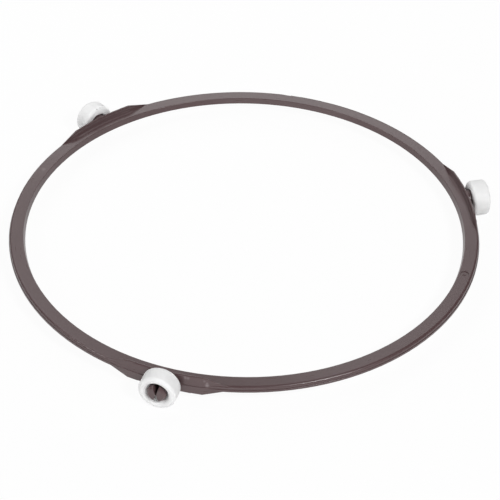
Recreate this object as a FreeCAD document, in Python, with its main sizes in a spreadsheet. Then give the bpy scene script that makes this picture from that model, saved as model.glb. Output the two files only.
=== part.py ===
import FreeCAD, Part
import enum
import math
import os

import Sketcher

# A roller ring: one flat moulded ring with three raised bearing pads, each pad carrying a short split pin,
# and three rollers that snap over the pins. The ring's axis is Z and the rollers stand on the plane Z = 0.
# Lengths are millimetres and angles are degrees.

SIZES = [
    ("ring_diameter", 201.6, "diameter of the ring's outer wall"),
    ("band_width", 5.95, "width of the ring, from its inner top edge to its outer wall"),
    ("band_thickness", 2.5, "height of the ring between the pads"),
    ("band_draft", 0.7, "how far the inner wall leans inwards from its top to its base"),
    ("outer_round", 1.1, "rounding between the top face and the outer wall"),
    ("inner_round", 0.25, "rounding of the top face's inner edge"),
    ("lip_reach", 0.25, "how far the base lip stands out past the outer wall"),
    ("lip_thickness", 1.0, "height of the base lip"),
    ("lip_round", 0.15, "rounding of the lip's upper edge"),
    ("pad_height", 8.2, "height of a bearing pad, half of it above the axle"),
    ("pad_wall", 0.9, "thickness of a pad's wall at its top"),
    ("pad_proud", 0.1, "how far a pad's outer faces stand out past the ring's"),
    ("pad_lean", 0.75, "how far a pad's upper face leans inwards from the axle's height to its top"),
    ("pad_crest", 31.0, "length of a pad at its full height"),
    ("pad_slope", 11.5, "length of the slope at each end of a pad, to where it ends inside the ring"),
    ("pad_end_share", 0.15, "size of a pad's section there, as a share of its full section"),
    ("pad_end_depth", 0.2, "how far inside the outer wall the point lies that the section shrinks towards"),
    ("pad_root_round", 2.3, "hollow rounding between a pad's wall and the ring"),
    ("pad_sink", 0.1, "how far that rounding dips into the ring before it ends"),
    ("pad_edge_round", 0.4, "rounding of a pad's upper and lower edges"),
    ("roller_diameter", 15.5, "diameter of a roller's tread"),
    ("roller_width", 7.4, "width of a roller along its axle"),
    ("rim_round", 1.3, "rounding of a roller's outer rims"),
    ("roller_gap", 0.45, "from a pad's lower face to a roller's inner end"),
    ("web_thickness", 2.7, "thickness of a roller's bored web, midway between its ends"),
    ("head_clearance", 0.5, "room all round the snap head in the recess of a roller's outer end"),
    ("outer_mouth_round", 1.8, "rounding of that recess's mouth"),
    ("end_land", 0.2, "least flat width that this rounding leaves on a roller's outer end"),
    ("collar_clearance", 0.3, "room all round the collar in the recess of a roller's inner end"),
    ("inner_mouth_round", 0.4, "rounding of that recess's mouth"),
    ("neck_diameter", 6.6, "diameter of the neck that a roller turns on"),
    ("neck_clearance", 0.06, "running clearance all round the neck"),
    ("end_clearance", 0.3, "play between a roller's web and the collar or the head"),
    ("collar_step", 0.6, "how far the collar between a pad and its roller stands out past the neck"),
    ("collar_round", 0.3, "rounding of the collar's end"),
    ("head_catch", 0.6, "how far the snap head that keeps a roller on stands out past the neck"),
    ("head_land", 1.9, "length of the head at its full diameter"),
    ("cone_length", 0.85, "length of the head's cone"),
    ("cone_taper", 0.9, "how far the cone comes in from the head to its tip"),
    ("tip_round", 0.7, "rounding of the cone's tip"),
    ("slot_width", 2.4, "width of the slot that lets the head spring, at the head's top and base"),
    ("slot_waist", 0.4, "width of that slot at the axle's height"),
    ("mark_diameter", 3.6, "diameter of the round sunk mark in the top face"),
    ("mark_depth", 0.3, "depth of that mark"),
    ("nub_diameter", 1.2, "diameter of the stub in the middle of the mark"),
    ("nub_height", 0.22, "height of that stub above the floor of the mark"),
    ("mark_angle", 89.0, "angle round the ring from the first pad to the mark"),
]

# The first roller stands at the front, on the -Y side, and the others follow at equal angles.
ROLLERS = ["roller_front", "roller_right", "roller_left"]
FRONT_AZIMUTH = -90.0

# Places that several features share, written once as expressions on the sheet's sizes.
AXLE_HEIGHT = "(sizes.roller_diameter / 2)"
TOP = f"({AXLE_HEIGHT} + sizes.band_thickness / 2)"
BASE = f"({AXLE_HEIGHT} - sizes.band_thickness / 2)"
LIP_TOP = f"({BASE} + sizes.lip_thickness)"
PAD_TOP = f"({AXLE_HEIGHT} + sizes.pad_height / 2)"
PAD_LOW = f"({AXLE_HEIGHT} - sizes.pad_height / 2)"
OUTER = "(sizes.ring_diameter / 2)"
LIP_OUTER = f"({OUTER} + sizes.lip_reach)"
INNER_TOP = f"({OUTER} - sizes.band_width)"
INNER_BASE = f"({INNER_TOP} - sizes.band_draft)"
PAD_OUTER = f"({OUTER} + sizes.pad_proud)"
PAD_LOWER_OUTER = f"({LIP_OUTER} + sizes.pad_proud)"
PAD_CREST_OUTER = f"({PAD_OUTER} - sizes.pad_lean)"
PAD_INNER = f"({PAD_CREST_OUTER} - sizes.pad_wall)"
PAD_FOCUS = f"({OUTER} - sizes.pad_end_depth)"
PAD_CREST = "(sizes.pad_crest / 2)"
PAD_CREST_ANGLE = f"asin({PAD_CREST} / {OUTER})"
PAD_END_ANGLE = f"asin(({PAD_CREST} + sizes.pad_slope) / {OUTER})"
PAD_ROOT = f"({PAD_INNER} - sizes.pad_root_round)"
PAD_SEAT = f"(({INNER_TOP} + {PAD_ROOT}) / 2)"
ROLLER_INNER_END = f"({PAD_LOWER_OUTER} + sizes.roller_gap)"
ROLLER_OUTER_END = f"({ROLLER_INNER_END} + sizes.roller_width)"
WEB_INNER = f"({ROLLER_INNER_END} + (sizes.roller_width - sizes.web_thickness) / 2)"
WEB_OUTER = f"({WEB_INNER} + sizes.web_thickness)"
COLLAR_END = f"({WEB_INNER} - sizes.end_clearance)"
HEAD_START = f"({WEB_OUTER} + sizes.end_clearance)"
HEAD_LAND_END = f"({HEAD_START} + sizes.head_land)"
PIN_TIP = f"({HEAD_LAND_END} + sizes.cone_length)"
NECK_RADIUS = "(sizes.neck_diameter / 2)"
COLLAR_RADIUS = f"({NECK_RADIUS} + sizes.collar_step)"
HEAD_RADIUS = f"({NECK_RADIUS} + sizes.head_catch)"
OUTER_RECESS = f"({HEAD_RADIUS} + sizes.head_clearance)"
INNER_RECESS = f"({COLLAR_RADIUS} + sizes.collar_clearance)"
BORE_RADIUS = f"({NECK_RADIUS} + sizes.neck_clearance)"
TREAD = "(sizes.roller_diameter / 2)"
MOUTH_ROOM = f"({TREAD} - sizes.rim_round - sizes.end_land - {OUTER_RECESS})"
OUTER_MOUTH = f"min(sizes.outer_mouth_round; {MOUTH_ROOM})"


class PointOf(enum.IntEnum):
    """The numbers that a sketch gives to the points of one of its curves."""

    START = 1
    END = 2
    CENTRE = 3


# A sketch also numbers its origin, which counts as the start of its horizontal axis, and its two axes.
ORIGIN_POINT = (-1, PointOf.START)
AXIS_WHERE_ZERO = {"DistanceX": -2, "DistanceY": -1}

# A turned sketch starts with some turn about its upright axis, so that its expression has an axis to use.
UPRIGHT = FreeCAD.Vector(0, 1, 0)
START_TURN = 1.0

doc = FreeCAD.newDocument("roller_ring")


def make_sheet():
    """Write each driving size into its own named cell."""
    sheet = doc.addObject("Spreadsheet::Sheet", "sizes")
    for row, (alias, size, meaning) in enumerate(SIZES, start=1):
        sheet.set(f"A{row}", meaning)
        sheet.set(f"B{row}", str(size))
        sheet.setAlias(f"B{row}", alias)
    doc.recompute()
    return sheet


def origin_feature(body, role):
    """Find one of a body's own origin planes or axes."""
    return next(item for item in body.Origin.OriginFeatures if item.Role == role)


def make_sketch(body, name, plane_role, along=None, up=None, turn=None):
    """Attach a sketch to a body's plane, moved off it by along and up or turned about its upright axis."""
    sketch = body.newObject("Sketcher::SketchObject", name)
    sketch.AttachmentSupport = [(origin_feature(body, plane_role), "")]
    sketch.MapMode = "FlatFace"
    if along:
        sketch.setExpression("AttachmentOffset.Base.z", along)
    if up:
        sketch.setExpression("AttachmentOffset.Base.y", up)
    if turn:
        sketch.AttachmentOffset = FreeCAD.Placement(FreeCAD.Vector(), FreeCAD.Rotation(UPRIGHT, START_TURN))
        sketch.setExpression("AttachmentOffset.Rotation.Angle", turn)
    doc.recompute()
    return sketch


def number(sketch, expression):
    """Work an expression out as a plain number."""
    return float(sketch.evalExpression(expression))


def hold_point(sketch, geometry, point, x, y):
    """Fix a point's place in the sketch to two expressions."""
    for kind, expression in (("DistanceX", x), ("DistanceY", y)):
        size = number(sketch, expression)
        if size == 0.0:
            axis = AXIS_WHERE_ZERO[kind]
            sketch.addConstraint(Sketcher.Constraint("PointOnObject", geometry, point, axis))
            continue
        ends = (*ORIGIN_POINT, geometry, point)
        if size < 0.0:
            ends = (geometry, point, *ORIGIN_POINT)
            expression = f"-({expression})"
        index = sketch.addConstraint(Sketcher.Constraint(kind, *ends, abs(size)))
        sketch.setExpression(f"Constraints[{index}]", expression)


def round_corner(sketch, before, corner, after, radius):
    """Draw the arc that rounds a corner, and return it with the places and the ends where it joins."""
    back = (before - corner).normalize()
    ahead = (after - corner).normalize()
    half_angle = back.getAngle(ahead) / 2
    setback = radius / math.tan(half_angle)
    arrival = corner + back * setback
    departure = corner + ahead * setback
    crown = corner + (back + ahead).normalize() * (radius / math.sin(half_angle) - radius)
    # A sketch's arcs run anticlockwise, so at a right turn the arc starts where the profile leaves it.
    turns_left = ahead.cross(back).z > 0
    if turns_left:
        arc = sketch.addGeometry(Part.Arc(arrival, crown, departure))
    else:
        arc = sketch.addGeometry(Part.Arc(departure, crown, arrival))
    ends = (PointOf.START, PointOf.END) if turns_left else (PointOf.END, PointOf.START)
    return arc, arrival, departure, ends


def draw_profile(sketch, corners):
    """Draw a closed profile from corners (x, y, rounding or None), all of them expressions."""
    count = len(corners)
    places = [FreeCAD.Vector(number(sketch, x), number(sketch, y), 0) for x, y, _ in corners]
    joins = [(None, place, place, None) for place in places]
    for i, (_, _, rounding) in enumerate(corners):
        if rounding:
            radius = number(sketch, rounding)
            joins[i] = round_corner(sketch, places[i - 1], places[i], places[(i + 1) % count], radius)
    lines = []
    for i in range(count):
        departure, arrival = joins[i][2], joins[(i + 1) % count][1]
        lines.append(sketch.addGeometry(Part.LineSegment(departure, arrival)))
    for i, (x, y, rounding) in enumerate(corners):
        before, after = lines[i - 1], lines[i]
        if not rounding:
            sketch.addConstraint(Sketcher.Constraint("Coincident", before, PointOf.END, after, PointOf.START))
            hold_point(sketch, after, PointOf.START, x, y)
            continue
        arc, _, _, (first, last) = joins[i]
        sketch.addConstraint(Sketcher.Constraint("Tangent", before, PointOf.END, arc, first))
        sketch.addConstraint(Sketcher.Constraint("Tangent", arc, last, after, PointOf.START))
        index = sketch.addConstraint(Sketcher.Constraint("Radius", arc, number(sketch, rounding)))
        sketch.setExpression(f"Constraints[{index}]", rounding)
        corner = sketch.addGeometry(Part.Point(places[i]), True)
        sketch.addConstraint(Sketcher.Constraint("PointOnObject", corner, PointOf.START, before))
        sketch.addConstraint(Sketcher.Constraint("PointOnObject", corner, PointOf.START, after))
        hold_point(sketch, corner, PointOf.START, x, y)


def draw_circle(sketch, x, y, diameter):
    """Draw a circle whose centre and diameter are expressions."""
    centre = FreeCAD.Vector(number(sketch, x), number(sketch, y), 0)
    size = number(sketch, diameter)
    circle = sketch.addGeometry(Part.Circle(centre, FreeCAD.Vector(0, 0, 1), size / 2))
    index = sketch.addConstraint(Sketcher.Constraint("Diameter", circle, size))
    sketch.setExpression(f"Constraints[{index}]", diameter)
    hold_point(sketch, circle, PointOf.CENTRE, x, y)


def revolve(body, name, sketch, axis, angle):
    """Turn a sketch about an axis, half of the angle to each side of its plane."""
    feature = body.newObject("PartDesign::Revolution", name)
    feature.Profile = sketch
    feature.ReferenceAxis = axis
    feature.Midplane = True
    feature.setExpression("Angle", angle)
    doc.recompute()
    return feature


def pocket(body, name, sketch, depth=None, outwards=False):
    """Cut a sketch to a depth, or right through, and make sure that it took something away."""
    feature = body.newObject("PartDesign::Pocket", name)
    feature.Profile = sketch
    feature.Reversed = outwards
    if depth:
        feature.setExpression("Length", depth)
    else:
        feature.Type = "ThroughAll"
    doc.recompute()
    if feature.Shape.Volume >= feature.BaseFeature.Shape.Volume:
        raise RuntimeError(f"{name} cuts nothing")
    return feature


def draw_band(body):
    """The flat ring, with its rounded top edges and the lip round its base."""
    sketch = make_sketch(body, "band_section", "XZ_Plane")
    draw_profile(
        sketch,
        [
            (INNER_BASE, BASE, None),
            (LIP_OUTER, BASE, None),
            (LIP_OUTER, LIP_TOP, "sizes.lip_round"),
            (OUTER, LIP_TOP, None),
            (OUTER, TOP, "sizes.outer_round"),
            (INNER_TOP, TOP, "sizes.inner_round"),
        ],
    )
    return revolve(body, "band", sketch, (sketch, ["V_Axis"]), "360")


def draw_pad_section(body, name, turn=None, share="1"):
    """A pad's section, shrunk to a share of its size towards a point just inside the ring's outer wall."""
    sketch = make_sketch(body, name, "XZ_Plane", turn=turn)
    corners = [
        (PAD_SEAT, f"{BASE} + sizes.pad_sink", None),
        (PAD_INNER, f"{BASE} + sizes.pad_sink", "sizes.pad_root_round"),
        (PAD_INNER, PAD_LOW, "sizes.pad_edge_round"),
        (PAD_LOWER_OUTER, PAD_LOW, "sizes.pad_edge_round"),
        (PAD_LOWER_OUTER, AXLE_HEIGHT, "sizes.lip_round"),
        (PAD_OUTER, AXLE_HEIGHT, None),
        (PAD_CREST_OUTER, PAD_TOP, "sizes.pad_edge_round"),
        (PAD_INNER, PAD_TOP, "sizes.pad_edge_round"),
        (PAD_INNER, f"{TOP} - sizes.pad_sink", "sizes.pad_root_round"),
        (PAD_SEAT, f"{TOP} - sizes.pad_sink", None),
    ]
    shrunk = []
    for x, z, rounding in corners:
        x = f"{PAD_FOCUS} + {share} * ({x} - {PAD_FOCUS})"
        z = f"{AXLE_HEIGHT} + {share} * ({z} - {AXLE_HEIGHT})"
        shrunk.append((x, z, rounding and f"{share} * {rounding}"))
    draw_profile(sketch, shrunk)
    return sketch


def draw_pad_wall(body):
    """A curved wall, taller than the ring, with hollow roundings where it leaves the ring's faces."""
    sketch = draw_pad_section(body, "pad_section")
    return revolve(body, "pad_wall", sketch, (sketch, ["V_Axis"]), f"2 * {PAD_CREST_ANGLE}")


def draw_pad_slope(body, name, side):
    """The slope at one end of a pad, whose section shrinks evenly until it lies inside the ring."""
    crest = draw_pad_section(body, f"{name}_crest", turn=f"{side}{PAD_CREST_ANGLE}")
    end = draw_pad_section(body, f"{name}_end", f"{side}{PAD_END_ANGLE}", "sizes.pad_end_share")
    slope = body.newObject("PartDesign::AdditiveLoft", name)
    slope.Profile = crest
    slope.Sections = [end]
    slope.Ruled = True
    doc.recompute()
    return slope


def draw_axle(body):
    """The collar, neck and snap head that stand out of a pad, turned about the roller's axis."""
    sketch = make_sketch(body, "axle_section", "XZ_Plane", up=AXLE_HEIGHT)
    root = f"({PAD_CREST_OUTER} - sizes.pad_wall / 2)"
    draw_profile(
        sketch,
        [
            (root, "0", None),
            (PIN_TIP, "0", None),
            (PIN_TIP, f"{HEAD_RADIUS} - sizes.cone_taper", "sizes.tip_round"),
            (HEAD_LAND_END, HEAD_RADIUS, None),
            (HEAD_START, HEAD_RADIUS, None),
            (HEAD_START, NECK_RADIUS, None),
            (COLLAR_END, NECK_RADIUS, None),
            (COLLAR_END, COLLAR_RADIUS, "sizes.collar_round"),
            (root, COLLAR_RADIUS, None),
        ],
    )
    return revolve(body, "axle", sketch, (sketch, ["H_Axis"]), "360")


def draw_pin_slot(body):
    """The upright slot that makes two springs of the neck and the head, with a waist at the axle."""
    sketch = make_sketch(body, "slot_outline", "YZ_Plane", along=COLLAR_END)
    waist = "sizes.slot_waist / 2"
    # The cut goes twice as far from the axle as the head does, and its sides keep their slope on the way.
    mouth = "(sizes.slot_width - sizes.slot_waist / 2)"
    low, high = f"{AXLE_HEIGHT} - 2 * {HEAD_RADIUS}", f"{AXLE_HEIGHT} + 2 * {HEAD_RADIUS}"
    right_side = [(mouth, low, None), (waist, AXLE_HEIGHT, None), (mouth, high, None)]
    left_side = [(f"-({x})", z, None) for x, z, _ in reversed(right_side)]
    draw_profile(sketch, right_side + left_side)
    return pocket(body, "pin_slot", sketch, outwards=True)


def draw_mark(body):
    """The small round mark sunk in the top face, with a stub left standing in it."""
    radius = f"(({INNER_TOP} + {OUTER} - sizes.outer_round) / 2)"
    x = f"{radius} * cos(sizes.mark_angle * 1 deg)"
    y = f"{radius} * sin(sizes.mark_angle * 1 deg)"
    sketch = make_sketch(body, "mark_outline", "XY_Plane", along=TOP)
    draw_circle(sketch, x, y, "sizes.mark_diameter")
    pocket(body, "mark", sketch, depth="sizes.mark_depth")
    sketch = make_sketch(body, "nub_outline", "XY_Plane", along=f"{TOP} - sizes.mark_depth")
    draw_circle(sketch, x, y, "sizes.nub_diameter")
    nub = body.newObject("PartDesign::Pad", "nub")
    nub.Profile = sketch
    nub.setExpression("Length", "sizes.nub_height")
    doc.recompute()
    return nub


def repeat_round(body, name, features):
    """Repeat features at every roller's place round the ring."""
    pattern = body.newObject("PartDesign::PolarPattern", name)
    pattern.Originals = features
    pattern.Axis = (origin_feature(body, "Z_Axis"), [""])
    pattern.Angle = 360
    pattern.Occurrences = len(ROLLERS)
    body.Tip = pattern
    doc.recompute()
    return pattern


def make_ring():
    """The ring as it is moulded: pads, band and pins in one piece."""
    body = doc.addObject("PartDesign::Body", "support_ring")
    body.Label = "support_ring"
    body.AllowCompound = True
    wall = draw_pad_wall(body)
    slopes = [draw_pad_slope(body, "pad_slope_ahead", ""), draw_pad_slope(body, "pad_slope_behind", "-")]
    repeat_round(body, "pads", [wall, *slopes])
    draw_band(body)
    repeat_round(body, "axles", [draw_axle(body), draw_pin_slot(body)])
    body.Tip = draw_mark(body)
    body.Placement.Rotation = FreeCAD.Rotation(FreeCAD.Vector(0, 0, 1), FRONT_AZIMUTH)
    doc.recompute()
    return body


def make_roller(label, azimuth):
    """A roller with a recess in each end and a bored web between them, at its place round the ring."""
    body = doc.addObject("PartDesign::Body", label)
    body.Label = label
    sketch = make_sketch(body, f"{label}_section", "XZ_Plane", up=AXLE_HEIGHT)
    draw_profile(
        sketch,
        [
            (ROLLER_INNER_END, INNER_RECESS, "sizes.inner_mouth_round"),
            (WEB_INNER, INNER_RECESS, None),
            (WEB_INNER, BORE_RADIUS, None),
            (WEB_OUTER, BORE_RADIUS, None),
            (WEB_OUTER, OUTER_RECESS, None),
            (ROLLER_OUTER_END, OUTER_RECESS, OUTER_MOUTH),
            (ROLLER_OUTER_END, TREAD, "sizes.rim_round"),
            (ROLLER_INNER_END, TREAD, "sizes.rim_round"),
        ],
    )
    body.Tip = revolve(body, f"{label}_turned", sketch, (sketch, ["H_Axis"]), "360")
    body.Placement.Rotation = FreeCAD.Rotation(FreeCAD.Vector(0, 0, 1), azimuth)
    doc.recompute()
    return body


def check(pieces):
    """Stop if any object failed or any piece isn't one sound solid."""
    for item in doc.Objects:
        if "Invalid" in item.State or "Error" in item.State:
            raise RuntimeError(f"{item.Name} is {item.State}")
    for piece in pieces:
        shape = piece.Shape
        if shape.isNull() or not shape.isValid() or len(shape.Solids) != 1:
            raise RuntimeError(f"{piece.Label} isn't one valid solid")


make_sheet()
step_angle = 360.0 / len(ROLLERS)
nodes = [make_ring()]
for turn, roller_label in enumerate(ROLLERS):
    nodes.append(make_roller(roller_label, FRONT_AZIMUTH + turn * step_angle))
check(nodes)

os.makedirs("parts", exist_ok=True)
for node in nodes:
    node.Shape.exportStep(f"parts/{node.Label}.step")
    box = node.Shape.optimalBoundingBox(True, False)
    size = f"{box.XLength:.2f} x {box.YLength:.2f} x {box.ZLength:.2f} mm"
    print(f"{node.Label}: {size}, {node.Shape.Volume:.1f} mm3")
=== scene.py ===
# %% [markdown]
# # A microwave roller ring, dressed for its portrait
# The ring and its three rollers come in as finished solids at their real size, so this lesson models
# no new shape over them. It gives the two plastics their finish, sets a white stage and soft light,
# and puts the camera where the photographer stood. The solids could be copied and reshaped here, but
# then the picture and the part would drift apart, so they stay as they are and only their materials
# change.

# %% Load the solids and move their placement into their meshes
import math

import bmesh
import bpy
from mathutils import Matrix, Vector

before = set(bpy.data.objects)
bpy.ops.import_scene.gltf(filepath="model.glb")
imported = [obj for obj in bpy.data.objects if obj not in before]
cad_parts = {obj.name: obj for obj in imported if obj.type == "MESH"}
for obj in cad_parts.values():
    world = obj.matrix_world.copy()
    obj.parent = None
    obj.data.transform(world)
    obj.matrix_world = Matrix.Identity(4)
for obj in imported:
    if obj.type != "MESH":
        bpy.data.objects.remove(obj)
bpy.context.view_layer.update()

MM = 0.001
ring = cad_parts["support_ring"]
rollers = [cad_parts[name] for name in ("roller_front", "roller_right", "roller_left")]

# %% [markdown]
# ## Two small helpers for materials
# A colour picked on a screen is an sRGB value, while the renderer adds up light in linear values, so
# one function turns a hex code into linear numbers. A second one adds a shader node, fills its sockets
# and makes its links, so that each material below reads as a list of what it is made of.

# %% Colours and nodes
# A mix node keeps sockets for numbers, vectors and colours side by side, all with the same names, so
# its colour sockets are picked by their places.
COLOUR_A, COLOUR_B, MIXED_COLOUR = 6, 7, 2


def linear(hex_code):
    """Turn an sRGB hex code into a linear colour with full alpha, by the formula of the standard."""
    channels = [int(hex_code[i : i + 2], 16) / 255 for i in (1, 3, 5)]
    return [c / 12.92 if c <= 0.04045 else ((c + 0.055) / 1.055) ** 2.4 for c in channels] + [1.0]


def add_node(tree, kind, inputs=None, **settings):
    """Add a node. An input is a plain value, or another node's output socket, which gets linked."""
    node = tree.nodes.new(kind)
    for name, setting in settings.items():
        setattr(node, name, setting)
    for name, value in (inputs or {}).items():
        if isinstance(value, bpy.types.NodeSocket):
            tree.links.new(value, node.inputs[name])
        else:
            node.inputs[name].default_value = value
    return node


def new_material(name):
    """Make an empty node material and return it with its tree."""
    material = bpy.data.materials.new(name)
    material.use_nodes = True
    material.node_tree.nodes.clear()
    return material, material.node_tree


print("the screen's middle grey in linear light:", [round(c, 3) for c in linear("#808080")])

# %% [markdown]
# ## The ring's plastic
# The ring is moulded in one shot from a brown, heat-proof polyester, in a steel mould with a fine
# spark-eroded finish. Three things show that it is moulded and not painted: the pigment clouds a
# little where the melt flowed, the gloss changes softly along the ring, and a very fine grain breaks
# up the reflections. Each of them is a noise whose scale comes from a real size. The flow runs round
# the ring, so its noise reads radius, distance round the ring and height in place of X, Y and Z. A
# painted image could do the same, but noise has no seam and no edge.

# %% Coordinates that follow the ring
RING_RADIUS = 98 * MM
FLOW_STRETCH = 12.0


def ring_coordinates(tree):
    """The place itself, and radius, distance round the ring over the flow's stretch, and height."""
    place = add_node(tree, "ShaderNodeTexCoord").outputs["Object"]
    axes = add_node(tree, "ShaderNodeSeparateXYZ", {"Vector": place})
    angle = add_node(
        tree, "ShaderNodeMath", {0: axes.outputs["Y"], 1: axes.outputs["X"]}, operation="ARCTAN2"
    )
    flow = add_node(
        tree,
        "ShaderNodeMath",
        {0: angle.outputs[0], 1: RING_RADIUS / FLOW_STRETCH},
        operation="MULTIPLY",
    )
    flat = add_node(tree, "ShaderNodeVectorMath", {0: place, 1: (1, 1, 0)}, operation="MULTIPLY")
    radius = add_node(tree, "ShaderNodeVectorMath", {0: flat.outputs[0]}, operation="LENGTH")
    joined = add_node(
        tree,
        "ShaderNodeCombineXYZ",
        {"X": radius.outputs["Value"], "Y": flow.outputs[0], "Z": axes.outputs["Z"]},
    )
    return place, joined.outputs[0]


print(f"a flow mark of 1 mm across is {FLOW_STRETCH:.0f} mm long round the ring")

# %% [markdown]
# ## Small flaws and painted glints
# A handled part isn't even all over. The top of the ring has a pale spot at its left, and the left
# roller has specks of dirt. The pale spots on the front pad are painted highlights: small glints of
# light on its face, put into its colour. Each spot is soft and round about a point of its piece, so it
# stays in its place when a roller turns. A scattered noise would be quicker, but it would put the spots
# anywhere.

# %% Spots at given points
# Each row is a spot's centre in mm, its radius in mm and its strength, where 1 covers all below it.
# The first five spots are painted highlights, glints of light on the front pad's face. The last is a
# pale spot on the ring's top at its left.
GLINT_AND_PALE_SPOTS = [
    ((8.7, -99.9, 10.95), 1.1, 0.7),
    ((9.8, -99.9, 10.95), 1.0, 0.6),
    ((16.2, -99.1, 10.5), 0.9, 0.4),
    ((17.3, -99.0, 9.65), 0.8, 0.7),
    ((17.3, -99.0, 8.77), 1.2, 0.9),
    ((-97.1, 7.4, 9.0), 1.8, 0.35),
]
SPECKS = [
    ((-88.6, 50.5, 15.1), 0.5, 0.8),
    ((-87.7, 52.1, 15.1), 0.5, 0.5),
    ((-94.4, 46.6, 11.4), 1.2, 0.15),
]


def spots(tree, place, spot_rows):
    """The cover by soft spots at a place: the strongest of them, where they overlap."""
    cover = 0.0
    for centre, radius, strength in spot_rows:
        middle = [MM * number for number in centre]
        gap = add_node(tree, "ShaderNodeVectorMath", {0: place, 1: middle}, operation="DISTANCE")
        spot = add_node(
            tree,
            "ShaderNodeMapRange",
            {"Value": gap.outputs["Value"], "From Max": MM * radius, "To Min": strength, "To Max": 0.0},
            interpolation_type="SMOOTHSTEP",
        )
        both = add_node(
            tree, "ShaderNodeMath", {0: cover, 1: spot.outputs["Result"]}, operation="MAXIMUM"
        )
        cover = both.outputs[0]
    return cover


print(len(GLINT_AND_PALE_SPOTS), "scuffs and", len(SPECKS), "specks")

# %% [markdown]
# ## Brown polyester
# Now the layers come together: pigment, streaks and pale spots make the colour, the front pad's spots
# being painted highlights, and the flow and the grain make the skin. The same noise drives the streaks
# and the gloss, because on the real ring both come from the flow. Each could have a noise of its own,
# but then a streak would no longer change the gloss.

# %% Brown polyester
PIGMENT_DARK, PIGMENT_LIGHT = "#4f3c3d", "#554243"
PIGMENT_FROM, PIGMENT_TO = 0.3, 0.7
# The second pale colour is the painted highlight of the front pad's glints, and the colour of the pale
# spot at the ring's left.
STREAK, GLINT_AND_SPOT_COLOUR = "#574445", "#86797a"
CLOUD_SIZE = 9 * MM
FLOW_WIDTH = 0.7 * MM
# A true spark-eroded grain is about 0.05 mm. It is drawn ten times as coarse, to show in a picture.
GRAIN_SIZE = 0.5 * MM
GRAIN_HEIGHT = 0.004 * MM
POLYESTER_ROUGHNESS = (0.25, 0.33)
POLYESTER_IOR = 1.57


def moulded_brown_polyester():
    """Clouds of pigment under a satin skin, with flow marks round the ring and a fine grain."""
    material, tree = new_material("moulded_brown_polyester")
    place, flowing = ring_coordinates(tree)
    clouds = add_node(
        tree,
        "ShaderNodeTexNoise",
        {"Vector": place, "Scale": 1 / CLOUD_SIZE, "Detail": 3.0, "Roughness": 0.6},
    )
    flow = add_node(
        tree,
        "ShaderNodeTexNoise",
        {"Vector": flowing, "Scale": 1 / FLOW_WIDTH, "Detail": 2.0, "Roughness": 0.5},
    )
    grain = add_node(
        tree, "ShaderNodeTexNoise", {"Vector": place, "Scale": 1 / GRAIN_SIZE, "Detail": 2.0}
    )
    pigment = add_node(tree, "ShaderNodeValToRGB", {"Fac": clouds.outputs["Fac"]})
    dark, light = pigment.color_ramp.elements
    dark.position, dark.color = PIGMENT_FROM, linear(PIGMENT_DARK)
    light.position, light.color = PIGMENT_TO, linear(PIGMENT_LIGHT)
    streaks = add_node(
        tree,
        "ShaderNodeMix",
        {"Factor": flow.outputs["Fac"], COLOUR_A: pigment.outputs["Color"], COLOUR_B: linear(STREAK)},
        data_type="RGBA",
    )
    # Painted highlights: pale spots for glints of light on the front pad, and one pale spot on the
    # ring's left top.
    glints_painted = add_node(
        tree,
        "ShaderNodeMix",
        {
            "Factor": spots(tree, place, GLINT_AND_PALE_SPOTS),
            COLOUR_A: streaks.outputs[MIXED_COLOUR],
            COLOUR_B: linear(GLINT_AND_SPOT_COLOUR),
        },
        data_type="RGBA",
    )
    smoothest, roughest = POLYESTER_ROUGHNESS
    gloss = add_node(
        tree,
        "ShaderNodeMapRange",
        {"Value": flow.outputs["Fac"], "To Min": smoothest, "To Max": roughest},
    )
    skin = add_node(
        tree,
        "ShaderNodeBump",
        {"Height": grain.outputs["Fac"], "Strength": 1.0, "Distance": GRAIN_HEIGHT},
    )
    shader = add_node(
        tree,
        "ShaderNodeBsdfPrincipled",
        {
            "Base Color": glints_painted.outputs[MIXED_COLOUR],
            "Roughness": gloss.outputs["Result"],
            "Normal": skin.outputs["Normal"],
            "IOR": POLYESTER_IOR,
        },
    )
    add_node(tree, "ShaderNodeOutputMaterial", {"Surface": shader.outputs[0]})
    return material


ring.data.materials.clear()
ring.data.materials.append(moulded_brown_polyester())
print("ring:", ring.data.materials[0].name, "on", len(ring.data.polygons), "faces")

# %% [markdown]
# ## The rollers' plastic
# The rollers are white acetal, a slippery plastic that turns on the pins without oil. It is a little
# see-through at its edges, so light that enters one face leaves by another and the shaded side stays
# bright. A plain white would look like chalk: the finish needs that soft glow, a satin skin and faint
# greyish clouds.

# %% White acetal
MILK_DARK, MILK_LIGHT = "#ededed", "#f4f4f4"
SPECK = "#8f8c8d"
ACETAL_CLOUD_SIZE = 4 * MM
# As on the ring, the grain is drawn coarser than the real one, to show in a picture.
ACETAL_GRAIN_SIZE = 0.6 * MM
ACETAL_GRAIN_HEIGHT = 0.003 * MM
ACETAL_ROUGHNESS = (0.55, 0.65)
ACETAL_IOR = 1.48
GLOW_DEPTH = 1.5 * MM


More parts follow.
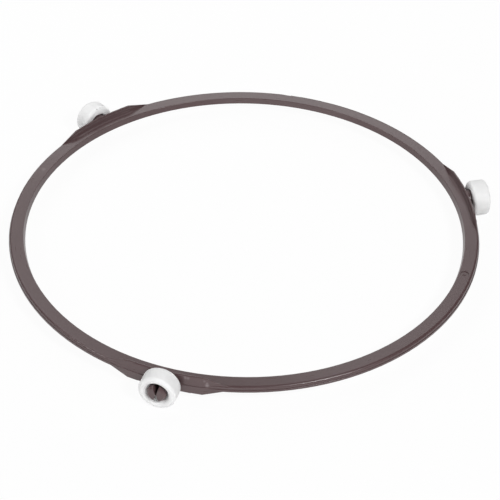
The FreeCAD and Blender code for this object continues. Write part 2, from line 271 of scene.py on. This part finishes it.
def moulded_white_acetal():
    """A milky white with faint clouds, a satin skin and a fine grain."""
    material, tree = new_material("moulded_white_acetal")
    place = add_node(tree, "ShaderNodeTexCoord").outputs["Object"]
    clouds = add_node(
        tree, "ShaderNodeTexNoise", {"Vector": place, "Scale": 1 / ACETAL_CLOUD_SIZE, "Detail": 3.0}
    )
    grain = add_node(
        tree, "ShaderNodeTexNoise", {"Vector": place, "Scale": 1 / ACETAL_GRAIN_SIZE, "Detail": 2.0}
    )
    milk = add_node(
        tree,
        "ShaderNodeMix",
        {"Factor": clouds.outputs["Fac"], COLOUR_A: linear(MILK_DARK), COLOUR_B: linear(MILK_LIGHT)},
        data_type="RGBA",
    )
    specked = add_node(
        tree,
        "ShaderNodeMix",
        {
            "Factor": spots(tree, place, SPECKS),
            COLOUR_A: milk.outputs[MIXED_COLOUR],
            COLOUR_B: linear(SPECK),
        },
        data_type="RGBA",
    )
    smoothest, roughest = ACETAL_ROUGHNESS
    gloss = add_node(
        tree,
        "ShaderNodeMapRange",
        {"Value": clouds.outputs["Fac"], "To Min": smoothest, "To Max": roughest},
    )
    skin = add_node(
        tree,
        "ShaderNodeBump",
        {"Height": grain.outputs["Fac"], "Strength": 1.0, "Distance": ACETAL_GRAIN_HEIGHT},
    )
    shader = add_node(
        tree,
        "ShaderNodeBsdfPrincipled",
        {
            "Base Color": specked.outputs[MIXED_COLOUR],
            "Roughness": gloss.outputs["Result"],
            "Normal": skin.outputs["Normal"],
            "IOR": ACETAL_IOR,
            "Subsurface Weight": 1.0,
            "Subsurface Radius": (1.0, 1.0, 1.0),
            "Subsurface Scale": GLOW_DEPTH,
        },
    )
    add_node(tree, "ShaderNodeOutputMaterial", {"Surface": shader.outputs[0]})
    return material


acetal = moulded_white_acetal()
for roller in rollers:
    roller.data.materials.clear()
    roller.data.materials.append(acetal)
print("rollers:", [roller.name for roller in rollers], "in", acetal.name)

# %% [markdown]
# ## The stage
# Spare parts are pictured on a white sweep, where the background burns out and only a trace of shadow
# stays. A brighter lamp would burn out the white rollers too. So the floor is an ordinary pale surface
# for the light that bounces off it. To the camera and in reflections most of it glows plain white, with
# the rest keeping the shadow.

# %% White floor
FLOOR_RADIUS = 3.0
FLOOR_SIDES = 96
FLOOR_GLOW = 0.95
PAPER, WHITE = "#f4f4f4", "#ffffff"


def white_floor():
    """A pale matt sheet that looks almost plain white."""
    material, tree = new_material("white_paper_sweep")
    paper = add_node(tree, "ShaderNodeBsdfDiffuse", {"Color": linear(PAPER)})
    white = add_node(tree, "ShaderNodeEmission", {"Color": linear(WHITE), "Strength": 1.0})
    rays = add_node(tree, "ShaderNodeLightPath").outputs
    seen = rays["Is Camera Ray"]
    for kind in ("Is Glossy Ray", "Is Transmission Ray"):
        seen = add_node(tree, "ShaderNodeMath", {0: seen, 1: rays[kind]}, operation="MAXIMUM").outputs[0]
    glow = add_node(tree, "ShaderNodeMath", {0: seen, 1: FLOOR_GLOW}, operation="MULTIPLY")
    mixed = add_node(
        tree,
        "ShaderNodeMixShader",
        {0: glow.outputs[0], 1: paper.outputs[0], 2: white.outputs[0]},
    )
    add_node(tree, "ShaderNodeOutputMaterial", {"Surface": mixed.outputs[0]})
    return material


disc = bmesh.new()
bmesh.ops.create_circle(disc, cap_ends=True, segments=FLOOR_SIDES, radius=FLOOR_RADIUS)
floor_mesh = bpy.data.meshes.new("floor")
disc.to_mesh(floor_mesh)
disc.free()
floor = bpy.data.objects.new("floor", floor_mesh)
bpy.context.scene.collection.objects.link(floor)
floor.data.materials.append(white_floor())
print("floor:", FLOOR_RADIUS, "m in radius, at the height of the rollers' lowest line")

# %% [markdown]
# ## Light
# Two softboxes stand to the left and right of the photographer: each draws one fine bright line along
# the ring's rounded outer edge. A wide dim one behind and a long one close to the far edge whiten the
# top of the ring, and three close ones even out its back, its left and its right. A low white card in
# front shows in the ring's inner wall. The places of the front pair were read off the highlights, since
# a glossy edge shows a lamp where it faces halfway between lamp and camera. The levels were found by
# weighing a picture by each lamp alone against the tones of the photograph. A level is the share of
# full white that a lamp adds to a matt white surface facing it in the middle of the ring. An even white
# world would be simpler, but it would fill every dark reflection and leave the ring flat.

# %% Dim room and softboxes
ROOM_LEVEL = 0.02


def dim_room():
    """A world that lights hardly anything, and is plain white where the camera looks past the floor."""
    world = bpy.data.worlds.new("dim_room")
    bpy.context.scene.world = world
    world.use_nodes = True
    tree = world.node_tree
    tree.nodes.clear()
    rays = add_node(tree, "ShaderNodeLightPath").outputs
    level = add_node(
        tree,
        "ShaderNodeMapRange",
        {"Value": rays["Is Camera Ray"], "To Min": ROOM_LEVEL, "To Max": 1.0},
    )
    room = add_node(
        tree, "ShaderNodeBackground", {"Color": linear(WHITE), "Strength": level.outputs["Result"]}
    )
    add_node(tree, "ShaderNodeOutputWorld", {"Surface": room.outputs[0]})


def softbox(name, azimuth, elevation, distance, size, level):
    """An area lamp aimed at the middle of the ring: angles in degrees, distance and size in metres."""
    lamp = bpy.data.lights.new(name, "AREA")
    lamp.shape = "RECTANGLE"
    lamp.size, lamp.size_y = size
    # A lamp of P watts gives P / (pi * distance**2) there, and matt white sends on that over pi.
    lamp.energy = level * math.pi**2 * distance**2
    around, up = math.radians(azimuth), math.radians(elevation)
    towards = Vector((math.cos(up) * math.cos(around), math.cos(up) * math.sin(around), math.sin(up)))
    obj = bpy.data.objects.new(name, lamp)
    obj.location = towards * distance
    obj.rotation_euler = towards.to_track_quat("Z", "Y").to_euler()
    obj.visible_camera = False
    bpy.context.scene.collection.objects.link(obj)
    print(f"{name}: {lamp.energy:.2f} W at {distance:.2f} m")


dim_room()
softbox("softbox_left_front", 216, 36, 1.2, (0.5, 0.5), 0.23)
softbox("softbox_right_front", 327, 44, 1.2, (0.25, 0.25), 0.64)
softbox("softbox_behind", 112, 30, 1.3, (1.1, 0.6), 0.03)
softbox("softbox_far_edge", 105, 28, 0.53, (0.6, 0.15), 0.2)
softbox("softbox_above_back", 125, 60, 0.6, (0.4, 0.4), 0.087)
softbox("softbox_left_edge", 165, 48, 0.35, (0.25, 0.25), 0.177)
softbox("softbox_right_edge", 81, 51, 0.32, (0.12, 0.12), 0.058)
softbox("white_card_front", 267, 7.5, 0.6, (0.9, 0.15), 0.24)

# %% [markdown]
# ## Camera
# A long lens looks down on the ring from about 40 degrees, a little to the right of the front roller.
# The lens, the distance and the angles were found by fitting the ring's two edges and the rollers to
# the photograph. Placing it by eye would be quicker, but would leave the edges some pixels off. The
# camera is also turned about its own line of sight by one degree, as the photographer's was.

# %% Camera
PICTURE_WIDTH = 500
FOCAL_PIXELS = 1695.0
SENSOR_WIDTH = 36.0
AZIMUTH = math.radians(17.32)
ELEVATION = math.radians(39.72)
ROLL = math.radians(1.12)
DISTANCE = 717.5 * MM
LOOK_AT = Vector((7.73, -16.11, 9.0)) * MM

back = Vector(
    (
        math.sin(AZIMUTH) * math.cos(ELEVATION),
        -math.cos(AZIMUTH) * math.cos(ELEVATION),
        math.sin(ELEVATION),
    )
)
lens = bpy.data.cameras.new("camera")
lens.sensor_width = SENSOR_WIDTH
lens.lens = SENSOR_WIDTH * FOCAL_PIXELS / PICTURE_WIDTH
camera = bpy.data.objects.new("camera", lens)
upright = (-back).to_track_quat("-Z", "Y").to_matrix().to_4x4()
camera.matrix_world = (
    Matrix.Translation(LOOK_AT + back * DISTANCE) @ upright @ Matrix.Rotation(ROLL, 4, "Z")
)
bpy.context.scene.collection.objects.link(camera)
bpy.context.scene.camera = camera
bpy.context.scene.view_settings.view_transform = "Standard"
print(f"lens {lens.lens:.1f} mm, {DISTANCE:.2f} m away")
